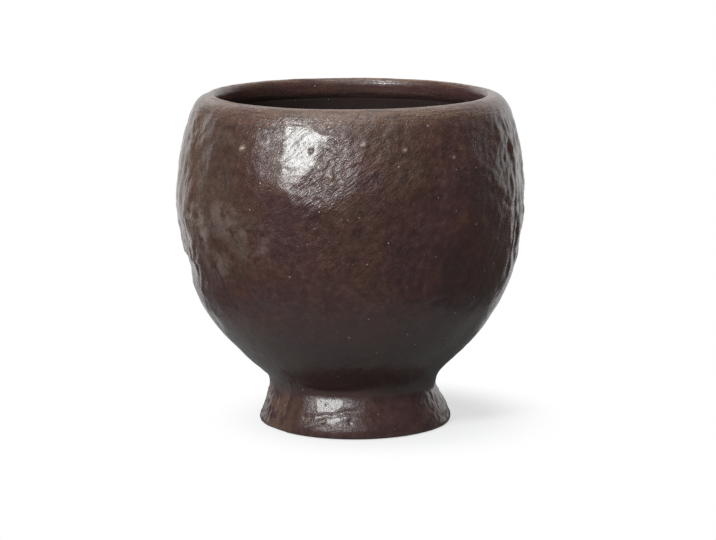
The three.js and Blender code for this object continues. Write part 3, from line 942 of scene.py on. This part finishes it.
def makeOuterGlaze():
    o = outerGlaze
    t = np.arange(o["columns"]) / o["columns"]
    angle = 2 * pi * t - o["frontShare"] * np.sin(2 * pi * t)
    # past the lip it laps over the inner glaze and runs out into it
    lap = insideLine()
    lap = lap[lengthAlong(lap) < o["lapLength"]]
    lap = sunk(lap, comesIn(lengthAlong(lap), o["lapDive"], o["lapStart"], o["lapLength"]))
    line = outsideLine()
    line = np.vstack([line[line[:, 1] >= o["footLine"]], lap[1:]])
    share = 1 + comesIn(line[:, 1], o["upperShare"], *o["upperRows"])
    share = share + comesIn(line[:, 1], o["footShare"], *o["footRows"])
    line = evenly(line, o["rows"], share)
    relief, shades = shapeOuterGlaze(line, angle)
    out = outward(line)
    front = ringsOf(line[:, :1] + relief * out[:, :1], angle[None], line[:, 1:] + relief * out[:, 1:])
    wobble = noiseAt(roundAxis(1, angle, o["wobbleShift"]), o["wobbleSize"], o["lipWobble"]) * mm
    front[..., 2] += wobble * smooth(line[:, 1:], *o["wobbleRange"])
    back = evenly(sunk(line, coatDepth(line)), o["backRows"])[::-1]
    rings = np.concatenate([front, ringsOf(back[:, :1], angle[None], back[:, 1:])])
    body = bodyFromRings("outer_glaze_coat", rings, False)
    for name, value in shades.items():
        shade = body.data.attributes.new(name, "FLOAT", "POINT")
        shade.data.foreach_set("value", np.concatenate([value.ravel(), np.zeros(len(back) * len(angle))]))
    setPiece(body, dippedGlaze, "outer_glaze")
    print("outer glaze:", len(body.data.vertices), "points, relief", relief.min().round(2), "to",
          relief.max().round(2), "mm")


makeOuterGlaze()


# The inner glaze is poured: smoother than the outside, with the finger marks softly under it
innerGlaze = {
    "columns": 200,
    "rows": 110,
    "underRows": 55,
    "coat": 0.6,
    "wave": (12, 0.12),  # size and depth
    "waveRange": (79, 74),
    "tuck": 0.4,
    "tuckLength": (0.3, 1.6),
    # the inside is mostly its own tone, greyed as a painted veil of stray light
    "darkened": 0.8,
    "flowed": 0.8,
}


def makeInnerGlaze():
    i = innerGlaze
    angle = np.linspace(0, 2 * pi, i["columns"], endpoint=False)
    line = evenly(insideLine(), i["rows"])
    # its top edge lies under the lap of the outer glaze
    line = sunk(line, i["tuck"] * (1 - smooth(lengthAlong(line), *i["tuckLength"])))
    wave = noiseAt(roundAxis(line[:, :1], angle, line[:, 1:]), *i["wave"])
    wave *= smooth(line[:, 1:], *i["waveRange"])
    front = ringsOf(line[:, :1] - wave, angle[None], line[:, 1:])
    under = evenly(sunk(insideLine(), i["coat"]), i["underRows"])[::-1]
    rings = np.concatenate([ringsOf(under[:, :1], angle[None], under[:, 1:]), front])
    body = bodyFromRings("inner_glaze_coat", rings, True)
    for name in ("darkened", "flowed"):
        shade = body.data.attributes.new(name, "FLOAT", "POINT")
        shade.data.foreach_set("value", np.full(len(body.data.vertices), i[name]))
    setPiece(body, pouredGlaze, "inner_glaze")
    print("inner glaze:", len(body.data.vertices), "points")


makeInnerGlaze()


# The clay under the glaze. Only the foot's base, its hollow and the bowl's underside can be seen. An inset
# keeps one piece clear of the next, and every sixth point of the outlines is enough here
clayBody = {
    "columns": 160,
    "every": 6,
    "flareEvery": 5,
    "under": 0.1,
    "underInside": 0.8,
    "recessTop": 13.6,
    "recessBase": 18,
    "recessPoints": 12,
    "baseInsets": (0.8, 0.3),
    "basePoints": 6,
    "flareLow": 0.6,
    "jointRadius": 17.8,
    "jointHeight": 10.4,
    "seatHeight": 11.2,
    "seatPoints": 14,
    "slipInset": 0.2,
    "coilBottom": 7.8,
    "coilInset": 0.4,
    "coilEnds": (8, 12),  # points left out at its thin ends
    "gap": 0.15,
    "rough": (4, 0.12),  # size and depth
    "roughRange": (0.01, 30),
}


def claySolid(name, node, outline, shutEnds):
    c = clayBody
    angle = np.linspace(0, 2 * pi, c["columns"], endpoint=False)
    line = np.array(outline, float)
    radius, height = line[:, :1], line[:, 1:]
    low, high = c["roughRange"]
    uneven = noiseAt(roundAxis(radius, angle, height), *c["rough"]) * ((height < high) & (height > low))
    body = bodyFromRings(name, ringsOf(radius + uneven, angle[None], height), shutEnds)
    setPiece(body, clay, node)
    print("clay:", name, len(body.data.vertices), "points")


def makeClayPieces():
    c = clayBody
    every, joint, gap = c["every"], c["jointRadius"], c["gap"]
    line = outsideLine()
    skin = sunk(line, coatDepth(line) + c["under"])
    crest = int(np.argmax(skin[:, 1]))
    rising = skin[:crest]
    coil = rising[(rising[:, 1] > c["coilBottom"]) & (rising[:, 1] < cup["coilTop"])]
    wall = rising[rising[:, 1] >= cup["coilTop"]][::every]
    flare = rising[(rising[:, 1] > c["flareLow"]) & (rising[:, 1] <= c["coilBottom"])][::c["flareEvery"]]
    inner = sunk(insideLine(), c["underInside"])[::every]
    seat = [(r, c["seatHeight"]) for r in np.linspace(cup["innermost"], joint, c["seatPoints"])]
    claySolid("bowl_clay", "bowl",
              seat + wall.tolist() + skin[crest::every].tolist() + inner.tolist(), True)
    recess = [(c["recessTop"] + (c["recessBase"] - c["recessTop"]) * k, c["jointHeight"] * (1 - k))
              for k in np.linspace(0, 1, c["recessPoints"])]
    inside, outside = c["baseInsets"]
    base = [(r, 0) for r in np.linspace(c["recessBase"] + inside, flare[0][0] - outside, c["basePoints"])]
    claySolid("foot_clay", "foot_ring",
              recess + base + flare.tolist() + [(joint, c["jointHeight"])], False)
    low, high = c["jointHeight"] + gap, c["seatHeight"] - gap
    near, far = c["recessTop"] + c["slipInset"], joint - c["slipInset"]
    claySolid("slip_bed", "luting_slip",
              [(near, low), (far, low), (far, high), (near, high)], False)
    first, last = c["coilEnds"]
    near = joint + c["coilInset"]
    claySolid("neck_coil_clay", "neck_coil",
              coil[first:-last:every].tolist() + [(near, c["seatHeight"]), (near, c["jointHeight"])], False)


makeClayPieces()


# A small white table in a white room, soft light from the front left and from above, and dim cloth round
# the front that only the glaze mirrors. Metres, degrees and watts
studio = {
    "tableRadius": 0.075,
    "tableTop": -0.00002,
    "tableSides": 96,
    "tableDiffuse": 0.36,
    "tableGlow": 0.62,
    "tableMirrored": 0.02,
    "shadowMiddle": (0.0095, -0.003, 0),
    "shadowReach": (0.024, 0.05),
    "roomLight": 0.33,
    "dimRoom": 0.12,
    "dimRadius": 1.4,
    "dimStep": 4,
    "dimTurn": (-133, 124),
    "dimSpread": (-1.5, 2.1),
    "dimSpreadBelow": -6,
    "dimRise": (-88, 65),
    "lampAim": (0, 0, 0.06),
    "lampColour": (0.97, 1, 1),
    "lamps": {  # direction, distance, size and power
        "key_softbox": ((-0.47, -0.72, 0.52), 0.85, (0.16, 0.16), 4.9),
        "wide_softbox": ((-0.36, -0.79, 0.52), 0.9, (1.5, 0.16), 2.2),
        "top_softbox": ((-0.12, -0.25, 1), 0.9, (0.6, 0.5), 3.6),
    },
    "cameraAt": (0.002, -0.6242, 0.1542),
    "cameraDown": 10.43,
    "focalPixels": 2439.4,
    "photoWidth": 716,
    "sensorWidth": 36,
}
white = (1, 1, 1, 1)


def stageMesh(name, points, faces, material):
    mesh = bpy.data.meshes.new(name)
    mesh.from_pydata(points, [], faces)
    mesh.shade_smooth()
    mesh.materials.append(material)
    made = bpy.data.objects.new(name, mesh)
    scene.collection.objects.link(made)
    return made


# Painted board, white and matt: it takes the cup's shadow, and is plain white beyond the shadow's reach
def makeTable():
    s = studio
    made, tree = newMaterial("whitePaintedTableTop")
    path = addNode(tree, "ShaderNodeLightPath").outputs
    matt = addNode(tree, "ShaderNodeBsdfDiffuse", {"Color": (s["tableDiffuse"],) * 3 + (1,)})
    # bright to the eye, and much dimmer in the glaze, which mirrors the part in the cup's own shadow
    eye = addNode(tree, "ShaderNodeMapRange", {"Value": path["Is Camera Ray"], "To Max": s["tableGlow"]})
    mirror = addNode(tree, "ShaderNodeMath", {
        0: path["Is Glossy Ray"], 1: path["Is Transmission Ray"]}, operation="MAXIMUM")
    mirror = addNode(tree, "ShaderNodeMapRange", {"Value": mirror.outputs[0], "To Max": s["tableMirrored"]})
    glow = addNode(tree, "ShaderNodeMath", {0: eye.outputs[0], 1: mirror.outputs[0]}, operation="MAXIMUM")
    shine = addNode(tree, "ShaderNodeEmission", {"Color": white, "Strength": glow.outputs[0]})
    near = addNode(tree, "ShaderNodeAddShader", {0: matt.outputs[0], 1: shine.outputs[0]})
    place = addNode(tree, "ShaderNodeTexCoord").outputs["Object"]
    far = addNode(tree, "ShaderNodeVectorMath", {0: place, 1: s["shadowMiddle"]}, operation="DISTANCE")
    shadowed, clear = s["shadowReach"]
    beyond = addNode(tree, "ShaderNodeMapRange", {
        "Value": far.outputs["Value"], "From Min": shadowed, "From Max": clear},
        interpolation_type="SMOOTHSTEP")
    beyond = addNode(tree, "ShaderNodeMath", {
        0: beyond.outputs[0], 1: path["Is Camera Ray"]}, operation="MULTIPLY")
    plain = addNode(tree, "ShaderNodeEmission", {"Color": white, "Strength": 1})
    both = addNode(tree, "ShaderNodeMixShader", {
        0: beyond.outputs[0], 1: near.outputs[0], 2: plain.outputs[0]})
    addNode(tree, "ShaderNodeOutputMaterial", {"Surface": both.outputs[0]})
    turns = np.linspace(0, 2 * pi, s["tableSides"], endpoint=False)
    edge = [(s["tableRadius"] * np.cos(a), s["tableRadius"] * np.sin(a), s["tableTop"]) for a in turns]
    stageMesh("white_table", edge, [tuple(range(len(edge)))], made)


# Unlit cloth round the table, open above and behind it. It only shows as a reflection in the glaze
def makeDimRoom():
    s = studio
    made, tree = newMaterial("dimRoomCloth")
    shine = addNode(tree, "ShaderNodeEmission", {"Color": white, "Strength": s["dimRoom"]})
    addNode(tree, "ShaderNodeOutputMaterial", {"Surface": shine.outputs[0]})
    low, high = s["dimRise"]
    turns, rises = np.arange(-180, 180, s["dimStep"]), np.arange(low, high + 1, s["dimStep"])
    points = s["dimRadius"] * np.array([roundAxis(np.cos(radians(e)), radians(a), np.sin(radians(e)))
                                        for e in rises for a in turns])
    wide = len(turns)
    # its two edges stand further apart low down
    below = np.maximum(s["dimSpreadBelow"] - rises, 0)
    first, last = (turn + spread * below for turn, spread in zip(s["dimTurn"], s["dimSpread"]))
    faces = [(r * wide + c, r * wide + (c + 1) % wide, (r + 1) * wide + (c + 1) % wide, (r + 1) * wide + c)
             for r in range(len(rises) - 1) for c in range(wide) if first[r] < turns[c] < last[r]]
    room = stageMesh("dim_room", points, faces, made)
    room.visible_camera = room.visible_diffuse = room.visible_shadow = room.visible_transmission = False


# White where the eye meets it straight, in a reflection or through something, and dimmer as a light
def makeWorld():
    world = bpy.data.worlds.new("studioRoom")
    scene.world = world
    world.use_nodes = True
    tree = world.node_tree
    tree.nodes.clear()
    path = addNode(tree, "ShaderNodeLightPath").outputs
    seen = path["Is Camera Ray"]
    for ray in ("Is Glossy Ray", "Is Transmission Ray"):
        seen = addNode(tree, "ShaderNodeMath", {0: seen, 1: path[ray]}, operation="MAXIMUM").outputs[0]
    level = addNode(tree, "ShaderNodeMapRange", {"Value": seen, "To Min": studio["roomLight"], "To Max": 1})
    air = addNode(tree, "ShaderNodeBackground", {"Color": white, "Strength": level.outputs[0]})
    addNode(tree, "ShaderNodeOutputWorld", {"Surface": air.outputs[0]})


def makeLamps():
    aim = Vector(studio["lampAim"])
    for name, (toward, distance, size, watts) in studio["lamps"].items():
        data = bpy.data.lights.new(name, "AREA")
        data.shape = "RECTANGLE"
        data.size, data.size_y = size
        data.energy = watts
        data.color = studio["lampColour"]
        lamp = bpy.data.objects.new(name, data)
        scene.collection.objects.link(lamp)
        lamp.location = aim + Vector(toward).normalized() * distance
        lamp.rotation_euler = (aim - lamp.location).to_track_quat("-Z", "Y").to_euler()


def makeCamera():
    s = studio
    lens = bpy.data.cameras.new("photo_camera")
    lens.sensor_fit = "HORIZONTAL"
    lens.sensor_width = s["sensorWidth"]
    lens.lens = s["sensorWidth"] * s["focalPixels"] / s["photoWidth"]
    camera = bpy.data.objects.new("photo_camera", lens)
    scene.collection.objects.link(camera)
    camera.location = s["cameraAt"]
    camera.rotation_euler = (radians(90 - s["cameraDown"]), 0, 0)
    scene.camera = camera


scene.view_settings.view_transform = "Standard"
makeTable()
makeDimRoom()
makeWorld()
makeLamps()
makeCamera()
print("studio: table, room, lamps and camera set")
